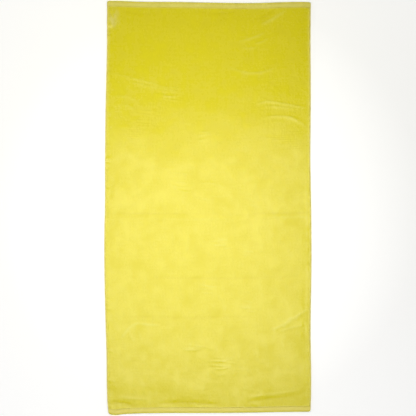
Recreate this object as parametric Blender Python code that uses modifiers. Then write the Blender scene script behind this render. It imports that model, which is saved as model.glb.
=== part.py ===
"""A velour beach towel lying flat, front face up, as its separate layers, hems and threads.

The towel lies on the plane z = 0 with its width along X and its length along Y, and the
origin is under its centre. The +Y half is the head half and the -Y half the foot half. They
meet at the crease across the middle, where the head half folds over onto the foot half.

From the floor up, the cloth is loop pile (terry), ground weave and cut pile (velour). Round
its edge the bare weave is turned under twice and sewn down, with a needle thread on the
front and a bobbin thread on the back. A care label hangs from the head end's seam, on the
back of the towel.
"""

import math

import bpy

# Driving sizes, in metres.
WIDTH = 0.762  # between the folded side edges
LENGTH = 1.524  # between the folded ends
CLOTH = 0.0006  # thickness of the bare weave, which is also the ground weave's
VELOUR = 0.0016  # height of the cut pile on the front
GAP = 0.0003  # clearance between pieces that lie against each other
THREAD = 0.0003  # diameter of the sewing thread
FLOOR_CLEARANCE = 0.0001  # the threads and the label keep this off the floor

END_HEM = 0.020  # depth of the hem at each end
SIDE_HEM = 0.011  # depth of the hem along each side
STITCH_MARGIN = 0.0025  # a hem's inner fold to the line of stitching that holds it
FLAP_SHORT_OF_FOLD = 0.0012  # the hidden turned-in layer stops this far from the outer fold

PILE_EDGE_ROUND = 0.0011  # rounding of the velour where it meets the side edges
GROOVE_SKIN = 0.0004  # pressed pile left under the needle thread

FOLD_ROOM = 0.0031  # the fold's axis lies this far over the velour
FOLD_RANGE = math.pi

LABEL_WIDTH = 0.032
LABEL_LENGTH = 0.042
LABEL_RIBBON = 0.0002  # thickness of the satin ribbon
LABEL_AT_X = 0.215  # middle of the label, from the towel's centre line
LABEL_POCKET_ROOM = 0.0008  # the loop pile stands back this far from the label's edges

ARC_STEPS = 8  # facets in each half turn of a folded layer

# Heights over the floor, worked out from the stack of layers.
HEM_BOTTOM = FLOOR_CLEARANCE + THREAD + GAP
LAYER_PITCH = CLOTH + GAP
FRONT_LAYER = HEM_BOTTOM + 2 * LAYER_PITCH  # underside of the hems' front layer
GROUND_BOTTOM = FRONT_LAYER
GROUND_TOP = GROUND_BOTTOM + CLOTH
TERRY = GROUND_BOTTOM - GAP  # height of the loop pile, which stands on the floor
VELOUR_BOTTOM = GROUND_TOP + GAP
VELOUR_TOP = VELOUR_BOTTOM + VELOUR
BOBBIN_AXIS = FLOOR_CLEARANCE + THREAD / 2
END_NEEDLE_AXIS = GROUND_TOP + GAP + THREAD / 2
SIDE_NEEDLE_AXIS = VELOUR_BOTTOM + GROOVE_SKIN + GAP + THREAD / 2
FOLD_AXIS = VELOUR_TOP + FOLD_ROOM

# Places across the towel, which the pieces share.
HALF_WIDTH = WIDTH / 2
HALF_LENGTH = LENGTH / 2
FIELD_SIDE = HALF_WIDTH - SIDE_HEM - GAP  # the ground weave and loop pile reach to here
FIELD_END = HALF_LENGTH - END_HEM - GAP  # every layer between the end hems stops here
CREASE = GAP / 2  # and starts here, beside the crease
FIELD_LENGTH = FIELD_END - CREASE
FIELD_MIDDLE = (FIELD_END + CREASE) / 2

LABEL_PIVOT_Y = FIELD_END
LABEL_PIVOT_Z = FLOOR_CLEARANCE
LABEL_THICKNESS = 2 * LABEL_RIBBON + GAP
LABEL_FAR_END = LABEL_PIVOT_Y - LABEL_LENGTH

YELLOW = (0.86, 0.76, 0.07, 1.0)
DEEP_YELLOW = (0.78, 0.66, 0.05, 1.0)
PALE_YELLOW = (0.80, 0.72, 0.24, 1.0)
THREAD_YELLOW = (0.83, 0.74, 0.18, 1.0)
OFF_WHITE = (0.82, 0.81, 0.77, 1.0)

SECTION_ACROSS = (math.pi / 2, 0, 0)  # a section in XZ, extruded along Y
SECTION_ALONG = (math.pi / 2, 0, math.pi / 2)  # a section in YZ, extruded along X


def clear_scene():
    for old in list(bpy.data.objects):
        bpy.data.objects.remove(old, do_unlink=True)


def new_collection(name):
    made = bpy.data.collections.new(name)
    bpy.context.scene.collection.children.link(made)
    return made


def new_material(name, colour, roughness):
    made = bpy.data.materials.new(name)
    made.use_nodes = True
    shader = made.node_tree.nodes["Principled BSDF"]
    shader.inputs["Base Color"].default_value = colour
    shader.inputs["Roughness"].default_value = roughness
    shader.inputs["Metallic"].default_value = 0.0
    return made


def new_pivot(name, location, collection):
    """An empty on a joint's axis, which the pieces that move together are parented to."""
    made = bpy.data.objects.new(name, None)
    made.location = location
    collection.objects.link(made)
    return made


def place(piece, location, pivot, material):
    """Puts a piece at a location in the towel's frame, under the pivot that it moves with."""
    piece.data.materials.append(material)
    piece.parent = pivot
    piece.location = [at - base for at, base in zip(location, pivot.location)]


def arc(centre, radius, start, end):
    """Points on a circular arc, from the angle start to the angle end."""
    angles = [start + (end - start) * step / ARC_STEPS for step in range(ARC_STEPS + 1)]
    return [
        (centre[0] + radius * math.cos(a), centre[1] + radius * math.sin(a)) for a in angles
    ]


def new_section(name, points, closed, length, rotation, collection):
    """A curve drawn as a cross-section and extruded to a length, centred on it."""
    data = bpy.data.curves.new(name, "CURVE")
    data.dimensions = "2D" if closed else "3D"
    data.fill_mode = "BOTH" if closed else "FULL"
    data.extrude = length / 2
    spline = data.splines.new("POLY")
    spline.points.add(len(points) - 1)
    for point, (across, up) in zip(spline.points, points):
        point.co = (across, up, 0, 1)
    spline.use_cyclic_u = closed
    made = bpy.data.objects.new(name, data)
    made.rotation_euler = rotation
    collection.objects.link(made)
    return made


def add_thickness(piece, thickness):
    """Turns a folded sheet into cloth, with the sheet in the middle of its thickness."""
    solidify = piece.modifiers.new("cloth", "SOLIDIFY")
    solidify.thickness = thickness
    solidify.offset = 0
    solidify.use_even_offset = True


def new_block(name, size, collection):
    """A box about its own centre, for a layer that is flat all over."""
    bpy.ops.mesh.primitive_cube_add(size=1)
    made = bpy.context.object
    made.name = name
    made.data.name = name
    made.scale = size
    bpy.ops.object.transform_apply(location=False, rotation=False, scale=True)
    for owner in list(made.users_collection):
        owner.objects.unlink(made)
    collection.objects.link(made)
    return made


def new_thread(name, start, end, collection):
    """A straight run of sewing thread between two points, each relative to the start."""
    data = bpy.data.curves.new(name, "CURVE")
    data.dimensions = "3D"
    data.bevel_depth = THREAD / 2
    data.bevel_resolution = 2
    data.use_fill_caps = True
    spline = data.splines.new("POLY")
    spline.points.add(1)
    spline.points[1].co = (*[far - near for near, far in zip(start, end)], 1)
    made = bpy.data.objects.new(name, data)
    collection.objects.link(made)
    return made


def hem_fold(depth, out):
    """The middle line of a double hem, seen end on, as (across, up) with the folded edge at 0.

    The front layer runs out to the edge, turns under, runs back as the layer on the floor's
    side, turns in again and ends between the two. out is 1 or -1, the way the edge faces.
    """
    front = FRONT_LAYER + CLOTH / 2
    outer_radius = LAYER_PITCH
    inner_radius = LAYER_PITCH / 2
    back = front - 2 * outer_radius
    outer_turn = arc(
        (-CLOTH / 2 - outer_radius, front - outer_radius), outer_radius, math.pi / 2, -math.pi / 2
    )
    inner_turn = arc(
        (-depth + CLOTH / 2 + inner_radius, back + inner_radius),
        inner_radius,
        -math.pi / 2,
        -3 * math.pi / 2,
    )
    flap_end = (-CLOTH - 2 * outer_radius - FLAP_SHORT_OF_FOLD, back + LAYER_PITCH)
    line = [(-depth, front), *outer_turn, *inner_turn, flap_end]
    return [(out * across, up) for across, up in line]


def velour_section():
    """The cut pile seen end on: rounded at the side edges and grooved along the side seams."""
    groove_half = THREAD / 2 + GAP
    seam = HALF_WIDTH - SIDE_HEM + STITCH_MARGIN
    groove_floor = VELOUR_BOTTOM + GROOVE_SKIN
    shoulder = arc(
        (HALF_WIDTH - PILE_EDGE_ROUND, VELOUR_TOP - PILE_EDGE_ROUND),
        PILE_EDGE_ROUND,
        0,
        math.pi / 2,
    )
    right = [
        (HALF_WIDTH, VELOUR_BOTTOM),
        *shoulder,
        (seam + groove_half, VELOUR_TOP),
        (seam + groove_half, groove_floor),
        (seam - groove_half, groove_floor),
        (seam - groove_half, VELOUR_TOP),
    ]
    return right + [(-across, up) for across, up in reversed(right)]


def make_layers(half, way, pivot, collection, materials):
    """The three layers of the towelling between the hems, for one half."""
    middle = way * FIELD_MIDDLE
    velour = new_section(
        half + "_velour_pile", velour_section(), True, FIELD_LENGTH, SECTION_ACROSS, collection
    )
    place(velour, (0, middle, 0), pivot, materials["velour"])
    ground = new_block(
        half + "_ground_weave", (2 * FIELD_SIDE, FIELD_LENGTH, CLOTH), collection
    )
    place(ground, (0, middle, GROUND_BOTTOM + CLOTH / 2), pivot, materials["flat_weave"])
    terry = new_block(half + "_terry_pile", (2 * FIELD_SIDE, FIELD_LENGTH, TERRY), collection)
    place(terry, (0, middle, TERRY / 2), pivot, materials["terry"])
    return terry


def make_end_hem(half, way, pivot, collection, materials):
    """The hem across one end, with its two threads."""
    hem = new_section(
        half + "_end_hem", hem_fold(END_HEM, way), False, WIDTH, SECTION_ALONG, collection
    )
    add_thickness(hem, CLOTH)
    place(hem, (0, way * HALF_LENGTH, 0), pivot, materials["flat_weave"])
    seam = way * (HALF_LENGTH - END_HEM + STITCH_MARGIN)
    for kind, height in (("needle", END_NEEDLE_AXIS), ("bobbin", BOBBIN_AXIS)):
        start = (-HALF_WIDTH, seam, height)
        end = (HALF_WIDTH, seam, height)
        thread = new_thread(f"{half}_end_seam_{kind}_thread", start, end, collection)
        place(thread, start, pivot, materials["thread"])


def make_side_hem(half, way, side, out, pivot, collection, materials):
    """The hem along one side of one half, with its two threads."""
    hem = new_section(
        f"{half}_{side}_side_hem",
        hem_fold(SIDE_HEM, out),
        False,
        FIELD_LENGTH,
        SECTION_ACROSS,
        collection,
    )
    add_thickness(hem, CLOTH)
    place(hem, (out * HALF_WIDTH, way * FIELD_MIDDLE, 0), pivot, materials["flat_weave"])
    seam = out * (HALF_WIDTH - SIDE_HEM + STITCH_MARGIN)
    for kind, height in (("needle", SIDE_NEEDLE_AXIS), ("bobbin", BOBBIN_AXIS)):
        start = (seam, way * CREASE, height)
        end = (seam, way * FIELD_END, height)
        thread = new_thread(f"{half}_{side}_seam_{kind}_thread", start, end, collection)
        place(thread, start, pivot, materials["thread"])


def make_label(pivot, collection, material):
    """The care label: a ribbon folded in a loop, its two ends at the seam that holds it."""
    lower = FLOOR_CLEARANCE + LABEL_RIBBON / 2
    radius = (LABEL_RIBBON + GAP) / 2
    far_turn = arc(
        (LABEL_FAR_END + LABEL_RIBBON / 2 + radius, lower + radius),
        radius,
        math.pi / 2,
        3 * math.pi / 2,
    )
    line = [(LABEL_PIVOT_Y, lower + 2 * radius), *far_turn, (LABEL_PIVOT_Y, lower)]
    line = [(along - LABEL_PIVOT_Y, up - LABEL_PIVOT_Z) for along, up in line]
    label = new_section("care_label", line, False, LABEL_WIDTH, SECTION_ALONG, collection)
    add_thickness(label, LABEL_RIBBON)
    place(label, pivot.location, pivot, material)


def cut_label_pocket(terry, cutters):
    """Stands the loop pile back round the label, as it is crushed there on the real towel."""
    near = LABEL_FAR_END - LABEL_POCKET_ROOM
    far = FIELD_END + LABEL_POCKET_ROOM
    top = FLOOR_CLEARANCE + LABEL_THICKNESS + GAP
    size = (LABEL_WIDTH + 2 * LABEL_POCKET_ROOM, far - near, 2 * top)
    cutter = new_block("label_pocket_cutter", size, cutters)
    cutter.location = (LABEL_AT_X, (near + far) / 2, 0)
    cutter.hide_render = True
    cutter.display_type = "WIRE"
    pocket = terry.modifiers.new("label pocket", "BOOLEAN")
    pocket.operation = "DIFFERENCE"
    pocket.solver = "EXACT"
    pocket.object = cutter


def main():
    clear_scene()
    towel = new_collection("beach_towel")
    cutters = new_collection("cutters")
    materials = {
        "velour": new_material("velour", YELLOW, 0.85),
        "terry": new_material("terry", DEEP_YELLOW, 0.95),
        "flat_weave": new_material("flat_weave", PALE_YELLOW, 0.8),
        "thread": new_material("thread", THREAD_YELLOW, 0.6),
        "label": new_material("label", OFF_WHITE, 0.45),
    }
    pivots = {
        "foot": new_pivot("foot_half_origin", (0, 0, 0), towel),
        "head": new_pivot("fold_axis", (0, 0, FOLD_AXIS), towel),
    }
    for half, way in (("foot", -1), ("head", 1)):
        terry = make_layers(half, way, pivots[half], towel, materials)
        make_end_hem(half, way, pivots[half], towel, materials)
        for side, out in (("left", -1), ("right", 1)):
            make_side_hem(half, way, side, out, pivots[half], towel, materials)
    cut_label_pocket(terry, cutters)
    label_pivot = new_pivot("label_axis", (LABEL_AT_X, LABEL_PIVOT_Y, LABEL_PIVOT_Z), towel)
    make_label(label_pivot, towel, materials["label"])


main()
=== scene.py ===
"""Looks of the velour beach towel: its layers, hems, stitching and label, and their materials.

Every piece is first built flat, at the places and heights that the CAD frame gives. lay()
then settles it on the floor: it bows the outline a little and adds the soft mounds, creases
and seam puckers that a towel keeps after it has been unfolded and spread out. All the pieces
go through the same lay(), so they stay on top of each other.

Each mesh has a UV map, "weave", that holds the place on the flat cloth in metres. The
materials are drawn on it, so the weave stays with the cloth when the towel folds. The front
also carries "crease", the height of its creases, which its material reads to paint highlight
on the ridges and shade in the valleys.
"""

import math

import bpy
import numpy as np
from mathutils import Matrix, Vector


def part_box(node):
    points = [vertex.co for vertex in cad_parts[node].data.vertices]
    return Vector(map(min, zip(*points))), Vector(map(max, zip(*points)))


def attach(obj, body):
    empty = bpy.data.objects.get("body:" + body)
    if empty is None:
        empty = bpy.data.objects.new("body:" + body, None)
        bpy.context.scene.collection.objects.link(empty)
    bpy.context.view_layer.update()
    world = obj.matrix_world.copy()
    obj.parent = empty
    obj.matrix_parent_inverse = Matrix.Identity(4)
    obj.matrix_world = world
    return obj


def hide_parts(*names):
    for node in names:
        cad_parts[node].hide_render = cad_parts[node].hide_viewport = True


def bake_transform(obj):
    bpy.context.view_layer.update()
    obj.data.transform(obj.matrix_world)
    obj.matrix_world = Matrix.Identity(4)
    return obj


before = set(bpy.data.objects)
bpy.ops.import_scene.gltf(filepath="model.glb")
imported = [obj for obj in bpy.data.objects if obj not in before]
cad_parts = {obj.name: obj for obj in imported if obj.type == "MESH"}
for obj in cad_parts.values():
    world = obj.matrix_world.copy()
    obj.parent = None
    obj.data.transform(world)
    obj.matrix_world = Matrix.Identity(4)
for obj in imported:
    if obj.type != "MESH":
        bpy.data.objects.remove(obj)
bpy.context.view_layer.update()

# ---------------------------------------------------------------- sizes from the frame


def middle_of(node):
    low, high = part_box(node)
    return (low + high) / 2


PILE_LOW, PILE_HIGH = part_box("head_velour_pile")
GROUND_LOW, GROUND_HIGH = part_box("head_ground_weave")
TERRY_LOW, TERRY_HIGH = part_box("head_terry_pile")
END_HEM_LOW, END_HEM_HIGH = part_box("head_end_hem")
SIDE_HEM_LOW, SIDE_HEM_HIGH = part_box("head_right_side_hem")
LABEL_LOW, LABEL_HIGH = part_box("care_label")

HALF_WIDTH = PILE_HIGH.x
HALF_LENGTH = END_HEM_HIGH.y
PILE_END = PILE_HIGH.y  # the pile stops here, beside the end hem
TERRY_SIDE = TERRY_HIGH.x
CLOTH = GROUND_HIGH.z - GROUND_LOW.z
PILE = PILE_HIGH.z - PILE_LOW.z
END_HEM = END_HEM_HIGH.y - END_HEM_LOW.y
SIDE_HEM = SIDE_HEM_HIGH.x - SIDE_HEM_LOW.x
END_SEAM = middle_of("head_end_seam_needle_thread").y
SIDE_SEAM = middle_of("head_right_seam_needle_thread").x
BOBBIN_LEVEL = middle_of("head_end_seam_bobbin_thread").z
SIDE_NEEDLE_LEVEL = middle_of("head_right_seam_needle_thread").z

# ---------------------------------------------------------------- the cloth's own sizes

CELL = 0.0055  # the mesh of the front is about this fine across the towel
ROW_CELL = 0.0027  # and this fine along it, because most creases run across
BACK_CELL = 0.006
HIDDEN_CELL = 0.024  # and this fine where a layer is never seen
FOLD_CELL = 0.00125  # rows in the stretch that bends when the towel folds
FOLD_START, FOLD_END = -0.003, 0.012  # the cloth bends between these two places along it

PILE_INSET = 0.004  # the folded edge of the side hem shows past the pile by this much
PILE_SHOULDER = 0.0016  # the pile rounds down over this width at its sides
PILE_END_SHOULDER = 0.0008  # and over this width beside the end hems
PILE_OVERHANG = 0.0007  # the tufts lean out over the end hems by this much
HEM_PUFF = 0.0002  # the end hems stand up by this much more than they do when pressed flat
HEM_CROWN = 0.00015  # every hem is this much higher halfway from its seam to its fold
END_PRESS = 0.00012  # how far the seam presses an end hem down
SIDE_PRESS = 0.00022  # and a side hem
PRESS_WIDTH = 0.0014
SIDE_STEP = 0.00022  # the pile lies this much higher over the folds of the side hems
SIDE_STEP_AT = 0.3635  # from here outward, measured from the middle of the towel
SIDE_STEP_WIDTH = 0.0015
SEAM_DIP = 0.0004  # how far the side seams press the pile down
SEAM_DIP_WIDTH = 0.0010
LOOP_LUMPS = 0.00012  # how unevenly the loops stand
POCKET_MARGIN = 0.001  # the label presses the loops down this far round it
POCKET_SLOPE = 0.004  # and they come back to full height over this distance
POCKET_GAP = 0.0004  # between the label and the loops
POCKET_MESH = 0.006  # the mesh is finer as far as this round the label
EDGE_MARKS = (0.0, 0.0001, 0.0004, 0.0009, 0.0016, 0.0028)  # mesh lines inside a layer's edge

RELIEF = 0.0029  # the highest that the cloth rises, so that the folded halves clear
CREASE_SHARE = 0.62  # of each crease's height below, left after the towel has settled
MOUND = 0.0006
MOUND_SPAN = 0.0013  # the mounds' part of RELIEF
MOUND_SHORTEST, MOUND_LONGEST = 0.09, 0.42
MOUND_WAVES = 46
EDGE_SINK = 0.0009  # the edges lie closer to the floor than the middle
EDGE_SINK_REACH = 0.03
# The relief is nothing this near to the label's middle, and whole this far from it.
FLAT_BY_LABEL, LIFTED_BY_LABEL = 0.010, 0.030
FOLD_CALM = 0.6  # the share of the relief that is missing where the towel folds
FOLD_CALM_REACH = 0.03
CORNER_RADIUS = 0.007

STITCH = 0.0028  # the length of a stitch
STITCH_STEPS = 6  # points along each stitch
STITCH_SWAY = 0.00012  # how far the thread wanders to either side
THREAD_RADIUS = 0.0002
THREAD_SIDES = 6
THREAD_LIFT = 0.0001  # threads stand this much higher than in the frame
BOBBIN_SUNK = 0.0006  # at each hole, the bobbin thread comes up to this far under the weave
END_SEAM_STOP = 0.002  # the end seams stop this far short of the sides

RIBBON = 0.0002  # the thickness of the label's ribbon

# How far each edge lies from a straight line, as (place along the edge, shift), in metres.
LEFT_EDGE = [
    (-0.77, 0.0127), (-0.73, 0.0077), (-0.68, 0.0052), (-0.55, 0.0037), (-0.42, -0.0003),
    (-0.20, -0.0046), (-0.11, -0.0048), (0.0, -0.0026), (0.20, -0.0020), (0.40, 0.0006),
    (0.55, 0.0042), (0.77, 0.0057),
]
RIGHT_EDGE = [
    (-0.77, -0.0032), (-0.72, -0.0006), (-0.60, 0.0000), (-0.49, -0.0018), (-0.19, 0.0014),
    (0.0, 0.0003), (0.18, -0.0028), (0.42, -0.0010), (0.60, -0.0022), (0.77, -0.0012),
]
FOOT_EDGE = [
    (-0.39, -0.0020), (-0.355, -0.0072), (-0.33, -0.0042), (-0.28, -0.0016), (-0.20, 0.0),
    (0.0, 0.0006), (0.19, 0.0026), (0.27, 0.0042), (0.39, 0.0052),
]
HEAD_EDGE = [
    (-0.39, 0.0040), (-0.33, 0.0036), (-0.28, 0.0014), (-0.10, -0.0006), (0.05, -0.0035),
    (0.21, -0.0036), (0.27, -0.0012), (0.34, 0.0), (0.39, -0.0008),
]

# Creases: height (below zero for a valley), width of the steep and of the gentle side, and
# the points that the crease runs through, all in metres.
CREASES = [
    # the fold across the middle, kept from when the towel lay folded, and its fainter echo
    (-0.0010, 0.0035, 0.0045, [(-0.39, -0.020), (-0.20, -0.023), (-0.06, -0.021)]),
    (-0.0006, 0.0035, 0.0050, [(-0.10, -0.022), (0.08, -0.025), (0.22, -0.023)]),
    (-0.0014, 0.0030, 0.0050, [(0.16, -0.020), (0.30, -0.022), (0.40, -0.019)]),
    (0.0006, 0.0040, 0.0060, [(-0.34, -0.040), (-0.05, -0.043), (0.10, -0.041)]),
    (0.0008, 0.0040, 0.0070, [(0.20, -0.036), (0.31, -0.037), (0.39, -0.035)]),
    # fainter folds across the foot half
    (-0.0008, 0.0040, 0.0060, [(-0.30, -0.258), (0.0, -0.262), (0.36, -0.257)]),
    (-0.0008, 0.0040, 0.0060, [(-0.36, -0.402), (-0.10, -0.408), (0.20, -0.404)]),
    # diagonals below the head end's right corner
    (0.0015, 0.0045, 0.0090, [(0.195, 0.683), (0.235, 0.700), (0.290, 0.735)]),
    (-0.0014, 0.0050, 0.0080, [(0.175, 0.702), (0.215, 0.716), (0.250, 0.738)]),
    (0.0013, 0.0035, 0.0070, [(0.110, 0.619), (0.165, 0.634), (0.212, 0.654)]),
    (0.0010, 0.0030, 0.0060, [(0.170, 0.611), (0.200, 0.618), (0.222, 0.632)]),
    (0.0009, 0.0030, 0.0060, [(0.120, 0.598), (0.150, 0.594), (0.190, 0.600)]),
    # a swag on the right, and two long creases that run to the right edge
    (
        0.0013, 0.0030, 0.0070,
        [(0.066, 0.527), (0.118, 0.510), (0.164, 0.503), (0.210, 0.508), (0.258, 0.525)],
    ),
    (
        0.0015, 0.0028, 0.0070,
        [(0.178, 0.388), (0.220, 0.396), (0.284, 0.385), (0.362, 0.370)],
    ),
    (0.0008, 0.0026, 0.0060, [(0.200, 0.379), (0.250, 0.377), (0.330, 0.364)]),
    (
        0.0014, 0.0028, 0.0070,
        [(0.208, 0.340), (0.284, 0.339), (0.331, 0.325), (0.376, 0.290)],
    ),
    # long creases from the left edge
    (
        0.0009, 0.0030, 0.0065,
        [(-0.377, 0.499), (-0.290, 0.481), (-0.216, 0.464), (-0.160, 0.445), (-0.094, 0.421)],
    ),
    (0.0008, 0.0026, 0.0060, [(-0.300, 0.468), (-0.225, 0.452), (-0.150, 0.436)]),
    (0.0007, 0.0030, 0.0060, [(-0.378, 0.413), (-0.290, 0.409), (-0.243, 0.370)]),
    (0.0006, 0.0030, 0.0060, [(-0.340, 0.384), (-0.290, 0.376), (-0.262, 0.345)]),
    # the foot half's right side
    (0.0024, 0.0030, 0.0080, [(0.235, -0.456), (0.300, -0.424), (0.372, -0.376)]),
    (0.0020, 0.0030, 0.0060, [(0.280, -0.448), (0.296, -0.424), (0.314, -0.405)]),
    (0.0014, 0.0030, 0.0060, [(0.262, -0.462), (0.310, -0.448), (0.356, -0.440)]),
    # a wedge of creases on the foot half's left side
    (0.0020, 0.0030, 0.0070, [(-0.330, -0.486), (-0.290, -0.440), (-0.258, -0.425)]),
    (0.0017, 0.0030, 0.0070, [(-0.268, -0.426), (-0.220, -0.432), (-0.176, -0.436)]),
    (0.0017, 0.0028, 0.0050, [(-0.292, -0.452), (-0.286, -0.476), (-0.276, -0.500)]),
    (0.0015, 0.0028, 0.0050, [(-0.262, -0.450), (-0.252, -0.472), (-0.247, -0.494)]),
    # puckers along the inside of the foot end's hem, and fainter ones at the head end
    (-0.0014, 0.0050, 0.0100, [(-0.368, -0.712), (-0.320, -0.722), (-0.268, -0.736)]),
    (0.0010, 0.0050, 0.0080, [(-0.345, -0.694), (-0.290, -0.704), (-0.230, -0.712)]),
    (-0.0006, 0.0050, 0.0090, [(0.110, -0.724), (0.230, -0.712), (0.365, -0.698)]),
    (0.0009, 0.0050, 0.0080, [(0.140, -0.703), (0.240, -0.694), (0.340, -0.684)]),
    (-0.0010, 0.0050, 0.0090, [(-0.200, -0.728), (-0.080, -0.722), (0.040, -0.730)]),
    (-0.0009, 0.0045, 0.0080, [(-0.330, 0.730), (-0.250, 0.716), (-0.160, 0.732)]),
    (-0.0009, 0.0045, 0.0080, [(-0.060, 0.732), (0.030, 0.722), (0.110, 0.733)]),
]

# Patches of small crosswise wrinkles: x, y, width and height in metres, the number of
# wrinkles, and a factor on how high they stand.
WRINKLE_PATCHES = [
    (-0.132, 0.427, 0.100, 0.060, 8, 0.8),
    (0.040, -0.130, 0.090, 0.040, 6, 2.0),
    (0.148, -0.166, 0.055, 0.022, 3, 2.0),
    (0.146, -0.366, 0.058, 0.040, 5, 2.0),
    (-0.050, -0.521, 0.080, 0.026, 4, 2.0),
    (0.060, -0.575, 0.110, 0.050, 5, 2.0),
    (-0.010, -0.300, 0.090, 0.040, 4, 2.0),
    (-0.105, 0.100, 0.110, 0.070, 6, 1.5),
    (0.020, 0.060, 0.120, 0.060, 5, 1.5),
    (0.160, 0.030, 0.070, 0.050, 4, 1.5),
    (-0.240, 0.330, 0.090, 0.070, 6, 0.8),
    (-0.020, 0.270, 0.080, 0.050, 3, 1.5),
]
SCATTERED_WRINKLES = 90  # faint ones, anywhere


def curve_value(points, at):
    """A smooth curve through (place, value) points, read at an array of places."""
    place, value = np.array(points).T
    slope = np.gradient(value, place)
    at = np.clip(at, place[0], place[-1])
    i = np.clip(np.searchsorted(place, at) - 1, 0, len(place) - 2)
    width = place[i + 1] - place[i]
    t = (at - place[i]) / width
    return (
        value[i] * (2 * t**3 - 3 * t**2 + 1)
        + slope[i] * width * (t**3 - 2 * t**2 + t)
        + value[i + 1] * (3 * t**2 - 2 * t**3)
        + slope[i + 1] * width * (t**3 - t**2)
    )


def smooth_line(points, steps=7):
    """More points along a smooth curve through a few."""
    points = np.array(points, float)
    along = np.arange(len(points))
    at = np.linspace(0, along[-1], steps * (len(points) - 1) + 1)
    return np.stack(
        [curve_value(np.stack([along, column], 1), at) for column in points.T], axis=1
    )


def smoothstep(low, high, value):
    """0 below low and 1 above high, with an even curve from one to the other."""
    t = np.clip((value - low) / (high - low), 0, 1)
    return t * t * (3 - 2 * t)


def waves(x, y, rng, count, shortest, longest):
    """Smooth noise with a spread of 1: crossing waves of random direction and phase."""
    total = np.zeros_like(x)
    for _ in range(count):
        length = math.exp(rng.uniform(math.log(shortest), math.log(longest)))
        heading, phase = rng.uniform(0, 2 * math.pi, 2)
        along = x * math.cos(heading) + y * math.sin(heading)
        total += np.sin(2 * math.pi * along / length + phase)
    return total * math.sqrt(2 / count)


def add_crease(total, x, y, height, steep, gentle, points):
    """Adds a ridge or valley along a curve, fading out to nothing at both of its ends."""
    line = smooth_line(points)
    reach = 4 * max(steep, gentle)
    low, high = line.min(0) - reach, line.max(0) + reach
    near = np.flatnonzero((x > low[0]) & (x < high[0]) & (y > low[1]) & (y < high[1]))
    if not len(near):
        return
    px, py = x[near], y[near]
    best = np.full(len(near), np.inf)
    side = np.zeros(len(near))
    along = np.zeros(len(near))
    pieces = len(line) - 1
    for i in range(pieces):
        (ax, ay), (dx, dy) = line[i], line[i + 1] - line[i]
        t = np.clip(((px - ax) * dx + (py - ay) * dy) / (dx * dx + dy * dy), 0, 1)
        off_x, off_y = px - ax - t * dx, py - ay - t * dy
        distance = np.hypot(off_x, off_y)
        nearer = distance < best
        best[nearer] = distance[nearer]
        side[nearer] = (dx * off_y - dy * off_x)[nearer]
        along[nearer] = (i + t[nearer]) / pieces
    width = np.where(side > 0, steep, gentle)
    fade = np.sqrt(np.clip(np.sin(math.pi * np.clip(along, 0, 1)), 0, 1))
    total[near] += height * fade * np.exp(-((best / width) ** 2))


def small_wrinkles():
    """The patches of short wrinkles and the scattered faint ones, in add_crease's terms."""
    rng = np.random.default_rng(7)
    made = []
    for x, y, width, height, count, factor in WRINKLE_PATCHES:
        for row in range(count):
            middle = y + height * ((row + 0.5) / count - 0.5) + rng.normal(0, 0.0015)
            half = width / 2 * rng.uniform(0.45, 1.0)
            centre = x + rng.normal(0, 0.1) * width
            tilt = rng.normal(-0.05, 0.10) * half
            bow = rng.normal(0, 0.10) * half
            points = [
                (centre - half, middle - tilt),
                (centre, middle + bow),
                (centre + half, middle + tilt),
            ]
            made.append((factor * rng.uniform(0.0004, 0.0008), 0.0022, 0.0034, points))
    for _ in range(SCATTERED_WRINKLES):
        x = rng.uniform(-0.34, 0.34)
        y = rng.uniform(-0.70, 0.70)
        half = rng.uniform(0.012, 0.040)
        tilt = rng.normal(0, 0.35) * half
        bow = rng.normal(0, 0.2) * half
        points = [(x - half, y - tilt), (x, y + bow), (x + half, y + tilt)]
        height = rng.uniform(0.0002, 0.0006) * rng.choice([-1, 1])
        made.append((height, 0.0026, 0.0045, points))
    return made


def puckers(x, y):
    """The gathers that sewing leaves: short waves across each seam, fading into the cloth."""
    rng = np.random.default_rng(11)
    total = np.zeros_like(x)
    for from_edge, along, reach, height in (
        (HALF_WIDTH + x, y, 0.016, 0.0010),
        (HALF_WIDTH - x, y, 0.012, 0.0006),
        (HALF_LENGTH + y, x, 0.030, 0.0007),
        (HALF_LENGTH - y, x, 0.026, 0.0005),
    ):
        wave = waves(along, np.zeros_like(along), rng, 14, 0.016, 0.060)
        strength = 0.6 + 0.4 * waves(along, np.zeros_like(along), rng, 6, 0.2, 0.7)
        total += height * wave * strength * np.exp(-((from_edge / reach) ** 2))
    return total


def creasing(x, y):
    """The height of the creases alone: above zero on ridges and below it in valleys."""
    height = np.zeros_like(x)
    for crease in CREASES + small_wrinkles():
        add_crease(height, x, y, CREASE_SHARE * crease[0], *crease[1:])
    return height


def relief(x, y):
    """How far the cloth lies above the floor at places on the flat towel: 0 to RELIEF."""
    rng = np.random.default_rng(3)
    mounds = MOUND * waves(x, y, rng, MOUND_WAVES, MOUND_SHORTEST, MOUND_LONGEST)
    from_edge = np.minimum(HALF_WIDTH - np.abs(x), HALF_LENGTH - np.abs(y))
    mounds -= EDGE_SINK * np.exp(-((from_edge / EDGE_SINK_REACH) ** 2))
    creases = creasing(x, y) + puckers(x, y)
    height = sum(
        span / 2 * (1 + np.tanh(part / (span / 2)))
        for part, span in ((mounds, MOUND_SPAN), (creases, RELIEF - MOUND_SPAN))
    )
    label_x, label_y = (LABEL_LOW.x + LABEL_HIGH.x) / 2, (LABEL_LOW.y + LABEL_HIGH.y) / 2
    from_label = np.hypot(x - label_x, (y - label_y) * 0.8)
    height *= smoothstep(FLAT_BY_LABEL, LIFTED_BY_LABEL, from_label)
    return height * (1 - FOLD_CALM * np.exp(-((y / FOLD_CALM_REACH) ** 2)))


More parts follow.
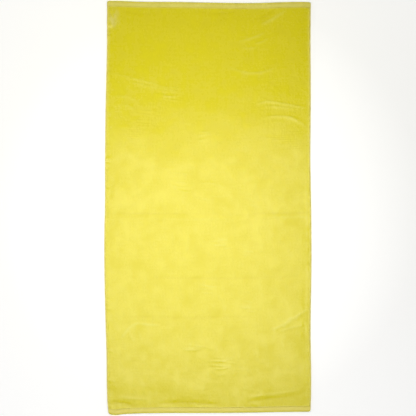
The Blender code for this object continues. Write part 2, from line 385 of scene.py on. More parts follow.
def lay(flat):
    """Moves points of the flat towel to where they are on the towel that lies on the floor."""
    flat = np.asarray(flat, float)
    x, y, z = flat.T
    # The corners are rounded: a square corner is drawn in to a quarter circle.
    over_x = np.abs(x) - (HALF_WIDTH - CORNER_RADIUS)
    over_y = np.abs(y) - (HALF_LENGTH - CORNER_RADIUS)
    corner = (over_x > 0) & (over_y > 0)
    shrink = np.ones_like(x)
    shrink[corner] = (
        np.maximum(over_x, over_y)[corner] / np.hypot(over_x[corner], over_y[corner])
    )
    laid_x = x - np.sign(x) * np.where(corner, over_x * (1 - shrink), 0)
    laid_y = y - np.sign(y) * np.where(corner, over_y * (1 - shrink), 0)
    to_right = (x / HALF_WIDTH + 1) / 2
    to_head = (y / HALF_LENGTH + 1) / 2
    laid_x += curve_value(LEFT_EDGE, y) * (1 - to_right) + curve_value(RIGHT_EDGE, y) * to_right
    laid_y += curve_value(FOOT_EDGE, x) * (1 - to_head) + curve_value(HEAD_EDGE, x) * to_head
    return np.stack([laid_x, laid_y, z + relief(x, y)], axis=1)


# ---------------------------------------------------------------- meshes


def face_corners(mesh):
    """The vertex at each corner of each face."""
    corners = np.zeros(len(mesh.loops), np.int32)
    mesh.loops.foreach_get("vertex_index", corners)
    return corners


def new_piece(name, flat, faces, weave, material):
    """A mesh object from points of the flat towel, laid on the floor, with its weave map."""
    mesh = bpy.data.meshes.new(name)
    mesh.from_pydata(lay(flat).tolist(), [], faces)
    mesh.update()
    uv = mesh.uv_layers.new(name="weave")
    uv.data.foreach_set("uv", np.asarray(weave, np.float32)[face_corners(mesh)].ravel())
    mesh.shade_smooth()
    mesh.materials.append(material)
    made = bpy.data.objects.new(name, mesh)
    bpy.context.scene.collection.objects.link(made)
    return made


def stations(marks, cell):
    """The marks, in order, with even steps of at most cell filled in between them."""
    marks = sorted(marks)
    made = [marks[0]]
    for start, end in zip(marks, marks[1:]):
        steps = max(1, math.ceil((end - start) / cell - 1e-6))
        made += [start + (end - start) * k / steps for k in range(1, steps + 1)]
    return np.array(made)


def both_sides(marks):
    """Each mark, and the same one on the other side of the middle."""
    return sorted({s * m for m in marks for s in (-1, 1)})


def fold_marks(cell):
    """Even marks through the stretch that bends, and one past each of its ends."""
    steps = round((FOLD_END - FOLD_START) / cell)
    return [FOLD_START + (FOLD_END - FOLD_START) * k / steps for k in range(-1, steps + 2)]


def grid_faces(rows, columns, first, upward):
    """Quads over a grid of points that are numbered row by row from first."""
    r, c = np.meshgrid(np.arange(rows - 1), np.arange(columns - 1), indexing="ij")
    a = (first + r * columns + c).ravel()
    quads = np.stack([a, a + 1, a + 1 + columns, a + columns], axis=1)
    return (quads if upward else quads[:, ::-1]).tolist()


def zip_rows(outer, outer_at, inner, inner_at, upward):
    """Triangles between two rows of points that run the same way, finer and coarser."""
    faces = []
    i = j = 0
    while i < len(outer) - 1 or j < len(inner) - 1:
        outer_next = outer_at[i + 1] if i < len(outer) - 1 else math.inf
        inner_next = inner_at[j + 1] if j < len(inner) - 1 else math.inf
        if outer_next <= inner_next:
            face = (outer[i], outer[i + 1], inner[j])
            i += 1
        else:
            face = (outer[i], inner[j + 1], inner[j])
            j += 1
        faces.append(face if upward else face[::-1])
    return faces


def layer_piece(name, x_shown, y_shown, x_hidden, y_hidden, shown, hidden, faces_up, material):
    """One layer of the towel as a closed solid: a fine face that shows and a coarse one.

    shown and hidden give the heights of the two faces at arrays of x and y, on the flat
    towel. The two share the layer's outline, where the height is shown's.
    """
    gx, gy = np.meshgrid(x_shown, y_shown)
    front = np.stack([gx.ravel(), gy.ravel(), shown(gx, gy).ravel()], axis=1)
    hx, hy = np.meshgrid(x_hidden[1:-1], y_hidden[1:-1])
    back = np.stack([hx.ravel(), hy.ravel(), hidden(hx, hy).ravel()], axis=1)
    rows, columns = gx.shape
    back_rows, back_columns = hx.shape
    faces = grid_faces(rows, columns, 0, faces_up)
    faces += grid_faces(back_rows, back_columns, len(front), not faces_up)
    fine = np.arange(rows * columns).reshape(rows, columns)
    coarse = len(front) + np.arange(back_rows * back_columns).reshape(back_rows, back_columns)
    for outer, outer_at, inner, inner_at, turned in (
        (fine[0], x_shown, coarse[0], hx[0], False),
        (fine[-1], x_shown, coarse[-1], hx[0], True),
        (fine[:, 0], y_shown, coarse[:, 0], hy[:, 0], True),
        (fine[:, -1], y_shown, coarse[:, -1], hy[:, 0], False),
    ):
        faces += zip_rows(
            outer.tolist(), outer_at, inner.tolist(), inner_at, turned == faces_up
        )
    flat = np.concatenate([front, back])
    return new_piece(name, flat, faces, flat[:, :2], material)


def sweep(sections, weave_across, weave_along):
    """Points, faces and weave of a closed section swept along, with its two ends capped.

    sections is an array of (stations, points of the section, 3).
    """
    count, ring = sections.shape[:2]
    flat = sections.reshape(-1, 3)
    faces = []
    for s in range(count - 1):
        for k in range(ring):
            a, b = s * ring + k, s * ring + (k + 1) % ring
            faces.append((a, b, b + ring, a + ring))
    faces.append(tuple(reversed(range(ring))))
    faces.append(tuple(range((count - 1) * ring, count * ring)))
    across, along = np.meshgrid(weave_across, weave_along)
    return flat, faces, np.stack([across.ravel(), along.ravel()], axis=1)


# ---------------------------------------------------------------- materials


class Nodes:
    """A material's node tree, with a short way to add a node and wire it up."""

    def __init__(self, name):
        self.material = bpy.data.materials.new(name)
        self.material.use_nodes = True
        self.tree = self.material.node_tree
        self.shader = self.tree.nodes["Principled BSDF"]

    def add(self, kind, inputs=None, **settings):
        node = self.tree.nodes.new(kind)
        for key, value in settings.items():
            setattr(node, key, value)
        for key, value in (inputs or {}).items():
            if isinstance(value, bpy.types.NodeSocket):
                self.tree.links.new(value, node.inputs[key])
            else:
                node.inputs[key].default_value = value
        return node

    def weave(self, x, y):
        """The place on the flat cloth, in metres, stretched by x and y."""
        place = self.add("ShaderNodeUVMap", uv_map="weave").outputs[0]
        scaled = self.add(
            "ShaderNodeVectorMath", {0: place, 1: (x, y, 1)}, operation="MULTIPLY"
        )
        return scaled.outputs[0]

    def noise(self, x, y, detail=2.0, rough=0.5, shift=0.0):
        """Noise with about x and y bumps to a metre, taken from elsewhere in it by shift."""
        place = self.weave(x, y)
        if shift:
            moved = self.add("ShaderNodeVectorMath", {0: place, 1: (shift, shift, shift)})
            place = moved.outputs[0]
        made = self.add(
            "ShaderNodeTexNoise",
            {"Vector": place, "Scale": 1, "Detail": detail, "Roughness": rough},
        )
        return made.outputs["Fac"]

    def place(self):
        """The two coordinates of the place on the flat cloth, in metres."""
        split = self.add("ShaderNodeSeparateXYZ", {0: self.weave(1, 1)})
        return split.outputs[0], split.outputs[1]

    def ribs(self, value, pitch):
        """Waves from -1 to 1, one to each pitch of value."""
        return self.math("SINE", self.math("MULTIPLY", value, 2 * math.pi / pitch))

    def math(self, operation, *values):
        return self.add(
            "ShaderNodeMath", dict(enumerate(values)), operation=operation
        ).outputs[0]

    def between(self, value, low, high, to_low, to_high):
        """Maps value from low..high to to_low..to_high, clamped."""
        made = self.add(
            "ShaderNodeMapRange", {0: value, 1: low, 2: high, 3: to_low, 4: to_high}
        )
        return made.outputs[0]

    def mix(self, share, first, second, blend="MIX"):
        made = self.add("ShaderNodeMix", data_type="RGBA", blend_type=blend)
        for socket, value in ((0, share), (6, first), (7, second)):
            if isinstance(value, bpy.types.NodeSocket):
                self.tree.links.new(value, made.inputs[socket])
            elif socket:
                made.inputs[socket].default_value = (*value, 1)
            else:
                made.inputs[socket].default_value = value
        return made.outputs[2]

    def darken(self, colour, share):
        grey = self.add("ShaderNodeCombineColor", {0: share, 1: share, 2: share})
        return self.mix(1.0, colour, grey.outputs[0], "MULTIPLY")

    def blend_of(self, *parts):
        """The sum of (value, weight) pairs."""
        total = 0.0
        for value, weight in parts:
            total = self.math("MULTIPLY_ADD", value, weight, total)
        return total

    def bump(self, height, distance, strength=1.0):
        inputs = {"Height": height, "Distance": distance, "Strength": strength}
        return self.add("ShaderNodeBump", inputs).outputs[0]

    def finish(self, colour, roughness, normal, **constants):
        self.tree.links.new(colour, self.shader.inputs["Base Color"])
        self.tree.links.new(roughness, self.shader.inputs["Roughness"])
        self.tree.links.new(normal, self.shader.inputs["Normal"])
        for key, value in constants.items():
            self.shader.inputs[key.replace("_", " ")].default_value = value
        return self.material


def velour_material():
    """Cut pile: a nap that leans this way and that in clouds, brushed streaks and tufts."""
    n = Nodes("velour")
    clouds = n.noise(7.5, 6.5, detail=2, rough=0.5)
    patches = n.noise(34, 28, detail=2, rough=0.5, shift=7.3)
    blotches = n.noise(115, 95, detail=1, rough=0.5, shift=3.1)
    weft_streaks = n.noise(14, 130, detail=2, rough=0.6)
    warp_streaks = n.noise(95, 12, detail=2, rough=0.6, shift=1.7)
    tufts = n.noise(1150, 1000, detail=1, rough=0.6)
    ripples = n.noise(17, 215, detail=1, rough=0.5, shift=5.9)
    rippled = n.between(n.noise(8, 10, detail=1, shift=9.4), 0.54, 0.66, 0.0, 1.0)
    lean = n.blend_of((clouds, 0.20), (patches, 0.28), (blotches, 0.17),
                      (weft_streaks, 0.18), (warp_streaks, 0.17))
    share = n.between(lean, 0.38, 0.62, 0.0, 1.0)
    colour = n.mix(share, (0.772, 0.671, 0.0), (0.816, 0.722, 0.010))
    # Painted highlight on the crease ridges and painted shade in the crease valleys, from the
    # height of the creases.
    crease = n.add("ShaderNodeAttribute", attribute_name="crease").outputs["Fac"]
    ridge = n.between(crease, 0.0001, 0.0009, 0, 0.75)
    valley = n.between(crease, -0.0001, -0.0006, 0, 0.6)
    colour = n.mix(ridge, colour, (0.84, 0.760, 0.080))
    colour = n.mix(valley, colour, (0.745, 0.640, 0.0))
    # The nap is paler in a patch beside the head end's left corner.
    from_pale_patch = n.add(
        "ShaderNodeVectorMath", {0: n.weave(1.6, 1), 1: (1.6 * -0.358, 0.697, 0)},
        operation="DISTANCE",
    ).outputs["Value"]
    pale_patch = n.math(
        "MULTIPLY", n.between(from_pale_patch, 0.016, 0.050, 1.0, 0.0),
        n.between(n.noise(85, 38, detail=2, shift=4.1), 0.40, 0.60, 0.2, 1.0),
    )
    colour = n.mix(pale_patch, colour, (0.83, 0.74, 0.15))
    across, along = (n.math("ABSOLUTE", value) for value in n.place())
    # Painted highlight: the pile is painted paler towards its side edges and beside the end hems.
    side_painted_highlight = n.between(across, HALF_WIDTH - 0.015, HALF_WIDTH - 0.004, 0, 0.8)
    end_painted_highlight = n.between(along, PILE_END - 0.0045, PILE_END, 0, 1)
    colour = n.mix(n.math("MAXIMUM", side_painted_highlight, end_painted_highlight), colour, (0.88, 0.785, 0.11))
    # Painted shade between the tufts: darker where the tufts' bump is low.
    colour = n.darken(colour, n.between(tufts, 0.30, 0.62, 0.86, 1.0))
    roughness = n.between(lean, 0.42, 0.58, 0.37, 0.17)
    height = n.blend_of((tufts, 0.00008), (blotches, 0.00030), (patches, 0.0008),
                        (n.math("MULTIPLY", ripples, rippled), 0.0004))
    return n.finish(
        colour, roughness, n.bump(height, 1.0),
        Sheen_Weight=0.12, Sheen_Roughness=0.5, Sheen_Tint=(1.0, 0.92, 0.15, 1),
        Specular_IOR_Level=0.66, Specular_Tint=(1.0, 0.96, 0.78, 1),
    )


def terry_material():
    """Uncut loops in rows, each a small bead, with deep shadow between them."""
    n = Nodes("terry")
    place = n.weave(560, 480)
    loops = n.add(
        "ShaderNodeTexVoronoi", {"Vector": place, "Scale": 1, "Randomness": 0.65}
    ).outputs["Distance"]
    height = n.between(loops, 0.0, 0.75, 1.0, 0.0)
    clouds = n.noise(9, 8, detail=3)
    bright = n.mix(n.between(clouds, 0.35, 0.65, 0, 1), (0.74, 0.645, 0.014), (0.79, 0.705, 0.03))
    colour = n.mix(n.between(height, 0.0, 0.7, 0, 1), (0.50, 0.40, 0.006), bright)
    roughness = n.between(height, 0.0, 1.0, 0.95, 0.75)
    normal = n.bump(height, 0.0011, 0.8)
    return n.finish(
        colour, roughness, normal,
        Sheen_Weight=0.2, Sheen_Roughness=0.6, Sheen_Tint=(1.0, 0.94, 0.6, 1),
        Specular_IOR_Level=0.3,
    )


def flat_weave_material(name, deep=(0.82, 0.695, 0.090), pale=(0.88, 0.755, 0.140), fold_at=None):
    """Bare weave: fine ribs along the weft crossed by the warp, paler than the pile.

    With fold_at, the distance across a hem of its folded edge, the cloth is yellower beside
    the fold and a thin line runs inside it, as on the border of a pile fabric.
    """
    n = Nodes(name)
    along, across = n.place()
    weave = n.math("MULTIPLY", n.ribs(along, 0.00095), n.ribs(across, 0.0012))
    slubs = n.noise(60, 700, detail=3, rough=0.6)
    clouds = n.noise(18, 40, detail=3)
    share = n.between(n.math("ADD", slubs, clouds), 0.8, 1.2, 0, 1)
    colour = n.mix(share, deep, pale)
    if fold_at:
        line_at = fold_at - 0.0070
        beside_fold = n.between(across, fold_at - 0.0065, fold_at - 0.0045, 0, 1)
        colour = n.mix(beside_fold, colour, (0.80, 0.725, 0.060))
        off_line = n.math("ABSOLUTE", n.math("SUBTRACT", across, line_at))
        colour = n.mix(n.between(off_line, 0.0003, 0.0012, 0.8, 0), colour, (0.84, 0.66, 0.13))
    # Painted shade between the yarns: darker where the weave's bump is low.
    colour = n.darken(colour, n.between(weave, -0.8, 0.6, 0.86, 1.0))
    roughness = n.between(slubs, 0.3, 0.7, 0.55, 0.42)
    height = n.blend_of((weave, 0.00006), (slubs, 0.00018))
    return n.finish(
        colour, roughness, n.bump(height, 1.0),
        Sheen_Weight=0.10, Sheen_Roughness=0.5, Sheen_Tint=(1.0, 0.94, 0.5, 1),
        Specular_IOR_Level=0.55,
    )


def thread_material():
    """Spun thread, with the twist of its plies."""
    n = Nodes("thread")
    around, along = n.place()
    plies = n.ribs(n.math("ADD", around, n.math("MULTIPLY", along, 2.2)), 0.0006)
    # Painted shade in the grooves of the twist: darker where the plies' bump is low.
    share = n.between(plies, -1, 1, 0, 1)
    colour = n.mix(share, (0.66, 0.56, 0.06), (0.88, 0.80, 0.22))
    roughness = n.between(plies, -1, 1, 0.6, 0.42)
    normal = n.bump(plies, 0.00005, 0.6)
    return n.finish(colour, roughness, normal, Sheen_Weight=0.1, Specular_IOR_Level=0.5)


def label_material():
    """Satin ribbon with fine crosswise ribs."""
    n = Nodes("label")
    ribs = n.ribs(n.place()[1], 0.0005)
    soft = n.noise(120, 30, detail=2)
    # Partly painted shade in the grooves between the ribs, which darken the satin a little;
    # mostly a tone that differs at random.
    share = n.between(n.math("ADD", n.math("MULTIPLY", ribs, 0.1), soft), 0.3, 0.8, 0, 1)
    colour = n.mix(share, (0.74, 0.73, 0.69), (0.84, 0.83, 0.80))
    roughness = n.between(soft, 0.3, 0.7, 0.32, 0.45)
    normal = n.bump(ribs, 0.00004, 0.5)
    return n.finish(colour, roughness, normal, Sheen_Weight=0.1, Specular_IOR_Level=0.5)


# ---------------------------------------------------------------- the towel's layers


def shoulder(distance, width):
    """How full the pile is at a distance from where it ends: 0 at its edge, 1 inside."""
    t = np.clip(1 - distance / width, 0, 1)
    return np.sqrt(np.clip(1 - t * t, 0, 1))


def velour_height(x, y):
    """The top of the cut pile: rounded at its edges, pressed down along the side seams."""
    from_side = HALF_WIDTH - PILE_INSET - np.abs(x)
    from_end = PILE_END + PILE_OVERHANG - np.abs(y)
    full = shoulder(from_side, PILE_SHOULDER) * shoulder(from_end, PILE_END_SHOULDER)
    dip = SEAM_DIP * np.exp(-(((np.abs(x) - SIDE_SEAM) / SEAM_DIP_WIDTH) ** 2))
    step = SIDE_STEP * smoothstep(
        SIDE_STEP_AT - SIDE_STEP_WIDTH, SIDE_STEP_AT + SIDE_STEP_WIDTH, np.abs(x)
    )
    return PILE_LOW.z + (PILE - dip + step - SIDE_STEP / 2) * full


def label_pocket(x, y):
    """1 where the care label presses the loops down, falling to 0 round it."""
    out_x = np.maximum(np.maximum(LABEL_LOW.x - x, x - LABEL_HIGH.x), 0)
    out_y = np.maximum(LABEL_LOW.y - y, 0)
    return 1 - smoothstep(POCKET_MARGIN, POCKET_MARGIN + POCKET_SLOPE, np.hypot(out_x, out_y))


def terry_height(x, y):
    """The underside of the loops: on the floor, but for the edges and round the label."""
    rng = np.random.default_rng(5)
    from_edge = np.minimum(TERRY_SIDE - np.abs(x), PILE_END - np.abs(y))
    full = shoulder(from_edge, PILE_SHOULDER)
    lumps = LOOP_LUMPS * (1 + np.clip(waves(x, y, rng, 24, 0.009, 0.03), -1, 1))
    pocket = (LABEL_HIGH.z + POCKET_GAP) * label_pocket(x, y)
    return TERRY_HIGH.z - (TERRY_HIGH.z - TERRY_LOW.z - lumps) * full + pocket * full


def mark_creases(piece):
    """Notes on a piece's mesh where it is creased, which its material reads to paint highlight on
    the ridges and shade in the valleys.
    """
    mesh = piece.data
    weave = np.zeros(2 * len(mesh.loops), np.float32)
    mesh.uv_layers["weave"].data.foreach_get("uv", weave)
    flat = np.zeros((len(mesh.vertices), 2))
    flat[face_corners(mesh)] = weave.reshape(-1, 2)
    mark = mesh.attributes.new("crease", "FLOAT", "POINT")
    mark.data.foreach_set("value", creasing(*flat.T).astype(np.float32))


def make_layers(velour, terry, flat_weave):
    """The cut pile, the loops and the weave between them."""
    side, end = HALF_WIDTH - PILE_INSET, PILE_END + PILE_OVERHANG
    seam_marks = [SIDE_SEAM + k * SEAM_DIP_WIDTH for k in (-2.5, -1.6, -1, -0.5, 0, 0.5, 1, 1.6)]
    seam_marks += [SIDE_STEP_AT + k * SIDE_STEP_WIDTH for k in (-1, 0, 1)]
    x_front = stations(both_sides([side - m for m in EDGE_MARKS] + seam_marks), CELL)
    y_front = stations(
        both_sides([end - m for m in EDGE_MARKS]) + fold_marks(FOLD_CELL), ROW_CELL
    )
    x_hidden = stations([-side, side], HIDDEN_CELL)
    y_hidden = stations([-end, end] + fold_marks(2 * FOLD_CELL), HIDDEN_CELL)
    front = layer_piece(
        "velour_front", x_front, y_front, x_hidden, y_hidden,
        velour_height, lambda x, y: np.full_like(x, PILE_LOW.z), True, velour,
    )
    mark_creases(front)
    side, end = TERRY_SIDE, PILE_END
    near_label = [LABEL_LOW.x - POCKET_MESH, LABEL_HIGH.x + POCKET_MESH]
    x_back = stations(both_sides([side - m for m in EDGE_MARKS]) + near_label, BACK_CELL)
    label_marks = np.linspace(LABEL_LOW.y - POCKET_MESH, PILE_END - 0.003, 12).tolist()
    y_back = stations(
        both_sides([end - m for m in EDGE_MARKS]) + fold_marks(FOLD_CELL) + label_marks, BACK_CELL
    )
    x_hidden = stations([-side, side], HIDDEN_CELL)
    back = layer_piece(
        "terry_back", x_back, y_back, x_hidden, y_hidden,
        terry_height, lambda x, y: np.full_like(x, TERRY_HIGH.z), False, terry,
    )
    ground = layer_piece(
        "ground_weave", stations([-side, side], HIDDEN_CELL / 2), y_hidden, x_hidden, y_hidden,
        lambda x, y: np.full_like(x, GROUND_HIGH.z),
        lambda x, y: np.full_like(x, GROUND_LOW.z), True, flat_weave,
    )
    return front, back, ground


# ---------------------------------------------------------------- hems


def arc(centre, radius, start, end, steps):
    """Points along an arc, both of its ends included."""
    angles = np.linspace(start, end, steps + 1)
    return np.stack(
        [centre[0] + radius * np.cos(angles), centre[1] + radius * np.sin(angles)], axis=1
    )


def folded_cloth(line, thickness):
    """The outline of cloth folded along a line, and how far along the cloth each point is."""
    along = np.concatenate([[0], np.cumsum(np.hypot(*np.diff(line, axis=0).T))])
    direction = np.gradient(line, axis=0)
    direction /= np.linalg.norm(direction, axis=1)[:, None]
    normal = np.stack([-direction[:, 1], direction[:, 0]], axis=1)
    off = normal * (thickness / 2)
    outline = np.concatenate([line + off, (line - off)[::-1]])
    return outline, np.concatenate([along, along[::-1]])


def hem_section(depth, low, high, stitch_in, stitch_press):
    """A hem's folded cloth, end on, with its folded edge at 0 and its inner edge at -depth.

    Gives what folded_cloth does, measured along the cloth from the hem's inner edge.
    """
    half = CLOTH / 2
    outer = (high - low - CLOTH) / 2
    inner = outer / 2
    middle = (high + low) / 2

    def press(across):
        return stitch_press * np.exp(-(((across + depth - stitch_in) / PRESS_WIDTH) ** 2))

    def crown(across):
        return HEM_CROWN * np.sin(np.clip(-across / (depth - stitch_in), 0, 1) * math.pi)

    front = np.linspace(-depth, -half - outer, 12)[:-1]
    front_line = np.stack([front, high - half - press(front) + crown(front)], axis=1)
    turn = arc((-half - outer, middle), outer, math.pi / 2, -math.pi / 2, 9)
    back = np.linspace(-half - outer, -depth + half + inner, 12)[1:-1]
    back_line = np.stack([back, low + half + 0.6 * press(back)], axis=1)
    tuck = arc(
        (-depth + half + inner, low + half + inner), inner, -math.pi / 2, -3 * math.pi / 2, 6
    )
    flap = np.linspace(-depth + half + inner, -half - 2 * outer - 0.001, 6)[1:]
    flap_line = np.stack([flap, np.full_like(flap, low + half + 2 * inner)], axis=1)
    return folded_cloth(
        np.concatenate([front_line, turn, back_line, tuck, flap_line]), CLOTH
    )


def end_hem(name, way, material):
    """The hem across one end. Its cloth's weft runs along the hem."""
    outline, along = hem_section(
        END_HEM, END_HEM_LOW.z, END_HEM_HIGH.z + HEM_PUFF,
        END_SEAM - (HALF_LENGTH - END_HEM), END_PRESS,
    )
    x = stations(both_sides([HALF_WIDTH, HALF_WIDTH - 0.0015, HALF_WIDTH - 0.004]), CELL)
    sections = np.zeros((len(x), len(outline), 3))
    sections[:, :, 0] = x[:, None]
    sections[:, :, 1] = way * (HALF_LENGTH + outline[:, 0])
    sections[:, :, 2] = outline[:, 1]
    flat, faces, weave = sweep(sections, along, x)
    if way < 0:
        faces = [face[::-1] for face in faces]
    return new_piece(name, flat, faces, weave[:, ::-1], material)


def side_hem(name, out, material):
    """The hem along one side, through the fold."""
    outline, along = hem_section(
        SIDE_HEM, SIDE_HEM_LOW.z, SIDE_HEM_HIGH.z,
        SIDE_SEAM - (HALF_WIDTH - SIDE_HEM), SIDE_PRESS,
    )
    y = stations([-PILE_END, PILE_END] + fold_marks(FOLD_CELL), CELL)
    sections = np.zeros((len(y), len(outline), 3))
    sections[:, :, 0] = out * (HALF_WIDTH + outline[:, 0])
    sections[:, :, 1] = y[:, None]
    sections[:, :, 2] = outline[:, 1]
    flat, faces, weave = sweep(sections, along, y)
    if out > 0:
        faces = [face[::-1] for face in faces]
    return new_piece(name, flat, faces, weave, material)


# ---------------------------------------------------------------- stitching


def stitched_path(length, level, sunk):
    """A needle or bobbin thread's way along a seam: arcs on the cloth that dip at each hole.

    Gives arrays of the place along the seam, the place beside it, and the height.
    """
    count = round(length / STITCH)
    t = np.arange(count * STITCH_STEPS + 1) / STITCH_STEPS
    within = t - np.floor(t)
    rise = 1 - np.abs(2 * within - 1) ** 3
    sideways = STITCH_SWAY * np.sin(2 * math.pi * t + 0.4)
    return t * length / count, sideways, sunk + (level - sunk) * rise


def thread_piece(name, start, end, level, sunk, material):
    """A seam's thread from start to end, both (x, y) on the flat towel."""
    start, end = np.array(start, float), np.array(end, float)
    length = np.linalg.norm(end - start)
    heading = (end - start) / length
    sideways_to = np.array([-heading[1], heading[0]])
    along, sideways, z = stitched_path(length, level, sunk)
    centre = start + np.outer(along, heading) + np.outer(sideways, sideways_to)
    turn = 2 * math.pi * np.arange(THREAD_SIDES) / THREAD_SIDES
    ring = np.zeros((len(along), THREAD_SIDES, 3))
    ring[:, :, :2] = centre[:, None] + (
        THREAD_RADIUS * np.cos(turn)[None, :, None] * sideways_to[None, None]
    )
    ring[:, :, 2] = z[:, None] + THREAD_RADIUS * np.sin(turn)
    flat, faces, weave = sweep(ring, turn * THREAD_RADIUS, along)
    return new_piece(name, flat, faces, weave, material)


def make_seams(thread):
    """The needle and bobbin threads of all four seams, by name."""
    reach = HALF_WIDTH - END_SEAM_STOP
    bobbin = (BOBBIN_LEVEL + THREAD_LIFT, GROUND_LOW.z - BOBBIN_SUNK)
    end_needle = (END_HEM_HIGH.z + HEM_PUFF - END_PRESS + THREAD_LIFT, GROUND_HIGH.z)
    side_needle = (SIDE_NEEDLE_LEVEL + 2 * THREAD_LIFT, GROUND_LOW.z)  # it lies in the pile
    seams = {}
    for seam, start, end, needle in (
        ("foot_end_seam", (-reach, -END_SEAM), (reach, -END_SEAM), end_needle),
        ("head_end_seam", (-reach, END_SEAM), (reach, END_SEAM), end_needle),
        ("left_seam", (-SIDE_SEAM, -PILE_END), (-SIDE_SEAM, PILE_END), side_needle),
        ("right_seam", (SIDE_SEAM, -PILE_END), (SIDE_SEAM, PILE_END), side_needle),
    ):
        for kind, levels in (("needle", needle), ("bobbin", bobbin)):
            name = f"{seam}_{kind}"
            seams[name] = thread_piece(name, start, end, *levels, thread)
    return seams


# ---------------------------------------------------------------- care label


def make_label(material):
    """A ribbon folded in a loop, its two ends one over the other at the seam that holds it."""
    half = RIBBON / 2
    low, high = LABEL_LOW.z, LABEL_HIGH.z
    root, tip = LABEL_HIGH.y, LABEL_LOW.y
    radius = (high - low - RIBBON) / 2
    middle = (low + high) / 2
    upper = np.linspace(root, tip + half + radius, 14)[:-1]
    turn = arc((tip + half + radius, middle), radius, math.pi / 2, 3 * math.pi / 2, 8)
    lower = np.linspace(tip + half + radius, root, 14)[1:]
    line = np.concatenate([
        np.stack([upper, np.full_like(upper, high - half)], axis=1),
        turn,
        np.stack([lower, np.full_like(lower, low + half)], axis=1),
    ])
    outline, along = folded_cloth(line, RIBBON)
    x = np.linspace(LABEL_LOW.x, LABEL_HIGH.x, 15)
    sections = np.zeros((len(x), len(outline), 3))
    sections[:, :, 0] = x[:, None]
    sections[:, :, 1] = outline[:, 0]
    sections[:, :, 2] = outline[:, 1]
    flat, faces, weave = sweep(sections, along, x)
    return new_piece("care_label_ribbon", flat, faces, weave[:, ::-1], material)


# ---------------------------------------------------------------- studio


def make_floor():
    """A large pale floor, which glows a little, and more where the lamps don't reach."""
    n = Nodes("floor")
    place = n.add("ShaderNodeNewGeometry").outputs["Position"]
    out = n.add("ShaderNodeVectorMath", {0: place}, operation="LENGTH").outputs["Value"]
    glow = n.between(out, 0.80, 2.2, 0.30, 0.82)
    n.tree.links.new(glow, n.shader.inputs["Emission Strength"])
    n.shader.inputs["Emission Color"].default_value = (1, 1, 1, 1)
    n.shader.inputs["Base Color"].default_value = (0.84, 0.84, 0.84, 1)
    n.shader.inputs["Roughness"].default_value = 0.9
    n.shader.inputs["Specular IOR Level"].default_value = 0.1
    mesh = bpy.data.meshes.new("floor")
    size = 30.0
    corners = [(-size, -size, 0), (size, -size, 0), (size, size, 0), (-size, size, 0)]
    mesh.from_pydata(corners, [], [(0, 1, 2, 3)])
    mesh.materials.append(n.material)
    floor = bpy.data.objects.new("floor", mesh)
    bpy.context.scene.collection.objects.link(floor)
    floor.visible_glossy = False
    return floor


def make_world():
    """A soft, even surround: white at the horizon and dimmer overhead."""
    world = bpy.data.worlds.new("studio")
    world.use_nodes = True
    bpy.context.scene.world = world
    tree = world.node_tree
    background = tree.nodes["Background"]
    place = tree.nodes.new("ShaderNodeTexCoord")
    split = tree.nodes.new("ShaderNodeSeparateXYZ")
    ramp = tree.nodes.new("ShaderNodeMapRange")
    tree.links.new(place.outputs["Generated"], split.inputs[0])
    tree.links.new(split.outputs["Z"], ramp.inputs[0])
    # The strength goes from 1.05 to 0.05 as the height in the sky goes from 0.15 to 0.80.
    for socket, value in ((1, 0.15), (2, 0.80), (3, 1.05), (4, 0.05)):
        ramp.inputs[socket].default_value = value
    tree.links.new(ramp.outputs[0], background.inputs["Strength"])
    background.inputs["Color"].default_value = (1, 1, 1, 1)
    world.cycles_visibility.glossy = False


def area_light(name, location, target, size, power, colour=(1, 1, 1)):
    """A rectangular lamp that shines from location towards target."""
    data = bpy.data.lights.new(name, "AREA")
    data.shape = "RECTANGLE"
    data.size, data.size_y = size
    data.energy = power
    data.color = colour
    light = bpy.data.objects.new(name, data)
    light.location = location
    aim = Vector([t - s for t, s in zip(target, location)])
    light.rotation_euler = aim.to_track_quat("-Z", "Y").to_euler()
    light.visible_camera = False
    bpy.context.scene.collection.objects.link(light)
    return light


def make_camera():
    """Straight above the towel, with a long lens and the head end up."""
    view_height = 1.5425  # metres of floor from the top to the bottom of the picture
    data = bpy.data.cameras.new("camera")
    data.lens = 200
    data.sensor_width = 36
    camera = bpy.data.objects.new("camera", data)
    distance = view_height / 2 / (data.sensor_width / 2 / data.lens)
    camera.location = (-0.0011, -0.0017, distance)  # not quite over the towel's middle
    data.clip_end = 100
    bpy.context.scene.collection.objects.link(camera)
    bpy.context.scene.camera = camera


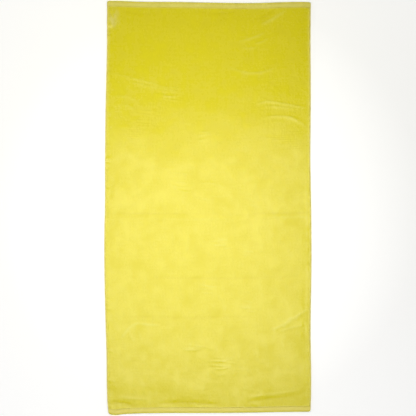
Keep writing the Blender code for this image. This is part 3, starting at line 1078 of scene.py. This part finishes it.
# ---------------------------------------------------------------- build

velour = velour_material()
terry = terry_material()
flat_weave = flat_weave_material("flat_weave")
head_weave = flat_weave_material(
    "head_weave", (0.83, 0.735, 0.106), (0.89, 0.80, 0.165), fold_at=END_HEM
)
# Painted light: the foot end's hem is the same weave as the head end's, painted lighter.
foot_weave_painted_light = flat_weave_material(
    "foot_weave_painted_light", (0.925, 0.80, 0.12), (0.97, 0.85, 0.18), fold_at=END_HEM
)
side_weave = flat_weave_material("side_weave", pale=(0.95, 0.85, 0.27))
thread = thread_material()
satin = label_material()

velour_front, terry_back, ground_weave = make_layers(velour, terry, flat_weave)
head_hem = end_hem("head_end_hem_cloth", 1, head_weave)
foot_hem = end_hem("foot_end_hem_cloth", -1, foot_weave_painted_light)
left_hem = side_hem("left_side_hem_cloth", -1, side_weave)
right_hem = side_hem("right_side_hem_cloth", 1, side_weave)
seams = make_seams(thread)
label = make_label(satin)
floor = make_floor()
make_world()
key = area_light("key", (-0.08, -0.30, 1.4), (-0.08, -0.30, 0), (1.2, 1.2), 6.2)
key.data.spread = math.radians(120)
over = area_light("over", (-0.12, 0.42, 1.0), (-0.12, 0.42, 0), (1.2, 1.2), 5.7, (1, 0.98, 0.80))
over.visible_glossy = False
make_camera()

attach(head_hem, "head_half")
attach(foot_hem, "foot_half")
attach(label, "label")
for half in ("foot", "head"):
    for kind in ("needle", "bobbin"):
        piece = seams[f"{half}_end_seam_{kind}"]
        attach(piece, f"{half}_half")
        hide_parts(f"{half}_end_seam_{kind}_thread")
across_the_fold = {
    velour_front: "velour_pile",
    terry_back: "terry_pile",
    ground_weave: "ground_weave",
    left_hem: "left_side_hem",
    right_hem: "right_side_hem",
}
for side in ("left", "right"):
    for kind in ("needle", "bobbin"):
        across_the_fold[seams[f"{side}_seam_{kind}"]] = f"{side}_seam_{kind}_thread"
for piece, node in across_the_fold.items():
    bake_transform(piece)
    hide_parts(f"foot_{node}", f"head_{node}")
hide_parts("head_end_hem")
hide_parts("foot_end_hem")
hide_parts("care_label")

bpy.context.scene.view_settings.view_transform = "Standard"
